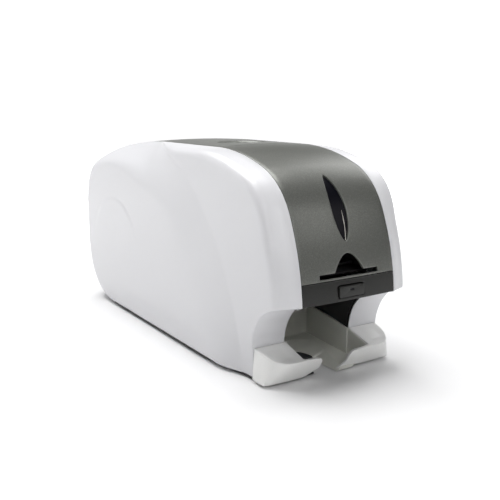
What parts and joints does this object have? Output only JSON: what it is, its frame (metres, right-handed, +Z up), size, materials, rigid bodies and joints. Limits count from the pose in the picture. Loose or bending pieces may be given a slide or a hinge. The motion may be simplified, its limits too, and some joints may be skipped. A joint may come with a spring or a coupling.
{
  "type": "id card printer",
  "caption": "Desktop id card printer with a grey crowned centre strip, white fender-like side covers, hinged lid and hopper door, card slot, button and open output bay.",
  "frame": {"origin": "centre of the bounding box at the table, under the rubber feet", "axes": "+X to the right seen from the front, +Y from the front to the rear, +Z up"},
  "size_m": [0.174, 0.432, 0.2075],
  "materials": {
    "white_plastic": "satin",
    "warm_white_plastic": "satin",
    "graphite_plastic": "fine texture",
    "dark_graphite_plastic": "fine texture",
    "tray_plastic": "satin",
    "black_plastic": "matte",
    "base_metal": "matte",
    "frame_steel": "brushed",
    "shaft_steel": "polished",
    "rubber": "matte",
    "cleaning_rubber": "tacky",
    "grey_steel": "satin",
    "aluminium": "satin",
    "ceramic": "glazed",
    "motor_black": "satin",
    "board_green": "gloss",
    "brass": "satin",
    "nylon": "satin",
    "ribbon": "gloss",
    "dark_lens": "gloss"
  },
  "bodies": {
    "chassis": {"base_plate": "base_metal", "rubber_feet": "rubber", "left_cover": "white_plastic", "right_cover": "white_plastic", "front_bezel": "dark_graphite_plastic", "left_tray_foot": "warm_white_plastic", "right_tray_foot": "warm_white_plastic", "output_tray": "tray_plastic", "bay_liner": "black_plastic", "hopper_bin": "black_plastic", "rear_top_cover": "graphite_plastic", "rear_panel": "graphite_plastic", "left_frame": "frame_steel", "right_frame": "frame_steel", "frame_crossbars": "frame_steel", "shaft_bushes": "nylon", "card_guide": "black_plastic", "drive_belt": "rubber", "transport_motor": "motor_black", "ribbon_motor": "motor_black", "main_board": "board_green", "button_board": "board_green", "button_spring": "shaft_steel", "hinge_pins": "shaft_steel", "power_inlet": "black_plastic", "data_sockets": "grey_steel", "switch_housing": "black_plastic", "fan_frame": "black_plastic", "ribbon_cassette": "nylon", "ribbon_film": "ribbon", "screws": "shaft_steel"},
    "lid": {"top_lid": "graphite_plastic", "lid_frame": "black_plastic", "release_spring": "shaft_steel", "head_springs": "shaft_steel"},
    "release": {"release_button": "black_plastic"},
    "latch": {"lid_latch": "black_plastic"},
    "head": {"print_head": "ceramic", "heat_sink": "aluminium"},
    "door": {"door_panel": "graphite_plastic", "door_frame": "black_plastic", "window_lens": "dark_lens"},
    "button": {"function_button": "dark_graphite_plastic", "light_pipe": "dark_lens"},
    "rocker": {"power_rocker": "black_plastic"},
    "platen": {"platen_roller": "rubber", "platen_shaft": "shaft_steel"},
    "feed": {"feed_roller": "rubber"},
    "transport": {"transport_roller": "rubber"},
    "pickup": {"pickup_roller": "rubber"},
    "cleaner": {"cleaning_roller": "cleaning_rubber"},
    "pinch": {"pinch_roller": "grey_steel"},
    "motor_rotor": {"motor_pinion": "brass"},
    "takeup": {"takeup_spool": "nylon"},
    "ribbon_rotor": {"ribbon_pinion": "brass"},
    "supply": {"supply_spool": "nylon", "supply_ribbon": "ribbon"},
    "fan": {"fan_rotor": "black_plastic"},
    "weight": {"card_weight": "grey_steel"}
  },
  "joints": [
    {"name": "lid_hinge", "type": "hinge", "parent": "chassis", "child": "lid", "pos_m": [0, 0.14814, 0.18937], "axis": [-1, 0, 0], "range_deg": [0, 80]},
    {"name": "release_press", "type": "slide", "parent": "lid", "child": "release", "axis": [0, 0, -1], "range_m": [0, 0.0015], "stiffness_N_per_m": 1500, "springref_m": -0.0005},
    {"name": "latch_turn", "type": "hinge", "parent": "lid", "child": "latch", "pos_m": [0, -0.062, 0.19], "axis": [-1, 0, 0], "range_deg": [0, 8.6]},
    {"name": "head_float", "type": "slide", "parent": "lid", "child": "head", "axis": [0, 0, 1], "range_m": [0, 0.001], "stiffness_N_per_m": 8000, "springref_m": -0.001},
    {"name": "door_hinge", "type": "hinge", "parent": "chassis", "child": "door", "pos_m": [0, -0.2052, 0.099], "axis": [1, 0, 0], "range_deg": [0, 55]},
    {"name": "button_press", "type": "slide", "parent": "chassis", "child": "button", "axis": [0, 1, 0], "range_m": [0, 0.001], "stiffness_N_per_m": 800, "springref_m": -0.0004},
    {"name": "switch_rock", "type": "hinge", "parent": "chassis", "child": "rocker", "pos_m": [-0.026, 0.1902, 0.06], "axis": [1, 0, 0], "range_deg": [0, 14]},
    {"name": "platen_spin", "type": "hinge", "parent": "chassis", "child": "platen", "pos_m": [0, -0.02, 0.0928], "axis": [1, 0, 0], "continuous": true},
    {"name": "feed_spin", "type": "hinge", "parent": "chassis", "child": "feed", "pos_m": [0, -0.092, 0.0928], "axis": [1, 0, 0], "continuous": true},
    {"name": "transport_spin", "type": "hinge", "parent": "chassis", "child": "transport", "pos_m": [0, 0.06, 0.0928], "axis": [1, 0, 0], "continuous": true},
    {"name": "pickup_spin", "type": "hinge", "parent": "chassis", "child": "pickup", "pos_m": [0, -0.135, 0.0923], "axis": [1, 0, 0], "continuous": true},
    {"name": "cleaning_spin", "type": "hinge", "parent": "chassis", "child": "cleaner", "pos_m": [0, -0.092, 0.1079], "axis": [1, 0, 0], "continuous": true},
    {"name": "pinch_spin", "type": "hinge", "parent": "chassis", "child": "pinch", "pos_m": [0, 0.06, 0.1059], "axis": [1, 0, 0], "continuous": true},
    {"name": "motor_spin", "type": "hinge", "parent": "chassis", "child": "motor_rotor", "pos_m": [0, -0.02, 0.0686], "axis": [1, 0, 0], "continuous": true},
    {"name": "takeup_spin", "type": "hinge", "parent": "chassis", "child": "takeup", "pos_m": [0, -0.062, 0.14], "axis": [1, 0, 0], "continuous": true},
    {"name": "ribbon_motor_spin", "type": "hinge", "parent": "chassis", "child": "ribbon_rotor", "pos_m": [0, -0.0426, 0.14], "axis": [1, 0, 0], "continuous": true},
    {"name": "supply_spin", "type": "hinge", "parent": "chassis", "child": "supply", "pos_m": [0, 0.032, 0.136], "axis": [1, 0, 0], "continuous": true},
    {"name": "fan_spin", "type": "hinge", "parent": "chassis", "child": "fan", "pos_m": [0, 0.12, 0.118], "axis": [1, 0, 0], "continuous": true},
    {"name": "weight_slide", "type": "slide", "parent": "chassis", "child": "weight", "axis": [0, 0, 1], "range_m": [0, 0.05]}
  ],
  "couplings": [
    {"joint": "latch_turn", "follows": "release_press", "rad_per_m": 100},
    {"joint": "feed_spin", "follows": "platen_spin", "ratio": 1},
    {"joint": "transport_spin", "follows": "platen_spin", "ratio": 1},
    {"joint": "pickup_spin", "follows": "platen_spin", "ratio": 1},
    {"joint": "cleaning_spin", "follows": "platen_spin", "ratio": -1},
    {"joint": "pinch_spin", "follows": "platen_spin", "ratio": -1.4},
    {"joint": "motor_spin", "follows": "platen_spin", "ratio": -3},
    {"joint": "ribbon_motor_spin", "follows": "takeup_spin", "ratio": -3}
  ]
}
